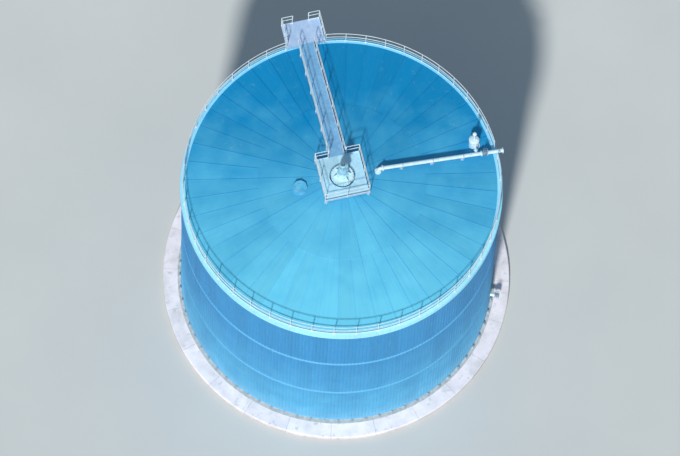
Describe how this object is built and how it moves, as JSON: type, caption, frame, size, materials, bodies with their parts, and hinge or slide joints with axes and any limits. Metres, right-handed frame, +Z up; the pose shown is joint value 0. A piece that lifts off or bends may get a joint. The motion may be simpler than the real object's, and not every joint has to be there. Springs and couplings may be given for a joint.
{
  "type": "biogas digester tank",
  "caption": "Round insulated steel digester tank with a conical roof, central top mixer, roof walkway and railing, gas outlet line and base fittings.",
  "frame": {"origin": "centre of the foundation's underside, at ground level", "axes": "+Z up along the tank's axis, +Y from the axis to the catwalk landing, +X from the axis to the end of the gas line"},
  "size_m": [22.4, 22.65, 19.16],
  "materials": {
    "white_concrete": "matt, trowelled and whitewashed",
    "grey_steel": "matt grey primer",
    "blue_cladding": "satin, coil-coated profiled sheet",
    "roof_sheet": "satin, coil-coated sheet",
    "pale_trim": "satin, coil-coated flashing",
    "rail_paint": "satin enamel over steel tube",
    "galvanised_steel": "dull hot-dip galvanised",
    "mixer_paint": "satin machine enamel",
    "pipe_jacket": "satin rolled jacket sheet",
    "valve_paint": "painted casting"
  },
  "bodies": {
    "root": {"foundation": "white_concrete", "tank_floor": "grey_steel", "base_ring": "grey_steel", "wall_lower_east": "blue_cladding", "wall_lower_north": "blue_cladding", "wall_lower_west": "blue_cladding", "wall_lower_south": "blue_cladding", "wall_middle_east": "blue_cladding", "wall_middle_north": "blue_cladding", "wall_middle_west": "blue_cladding", "wall_middle_south": "blue_cladding", "wall_upper_east": "blue_cladding", "wall_upper_north": "blue_cladding", "wall_upper_west": "blue_cladding", "wall_upper_south": "blue_cladding", "roof_east": "roof_sheet", "roof_north": "roof_sheet", "roof_west": "roof_sheet", "roof_south": "roof_sheet", "roof_hatch": "roof_sheet", "eave_ring": "pale_trim", "edge_rail_north_east": "rail_paint", "edge_rail_north_west": "rail_paint", "edge_rail_south_west": "rail_paint", "edge_rail_south_east": "rail_paint", "landing_rail_east": "rail_paint", "landing_rail_west": "rail_paint", "walkway_rail_east": "rail_paint", "walkway_rail_west": "rail_paint", "platform_rail": "rail_paint", "landing": "galvanised_steel", "walkway": "galvanised_steel", "platform": "galvanised_steel", "mixer_neck": "mixer_paint", "mixer_stand": "mixer_paint", "mixer_gearbox": "mixer_paint", "mixer_motor": "mixer_paint", "gas_takeoff": "pipe_jacket", "gas_pipe": "pipe_jacket", "gas_outlet": "pipe_jacket", "relief_pot": "pipe_jacket", "feed_nozzle": "pipe_jacket", "drain_nozzle": "pipe_jacket", "gas_valve": "valve_paint", "feed_valve": "valve_paint", "drain_valve": "valve_paint", "manhole": "blue_cladding"}
  },
  "joints": []
}
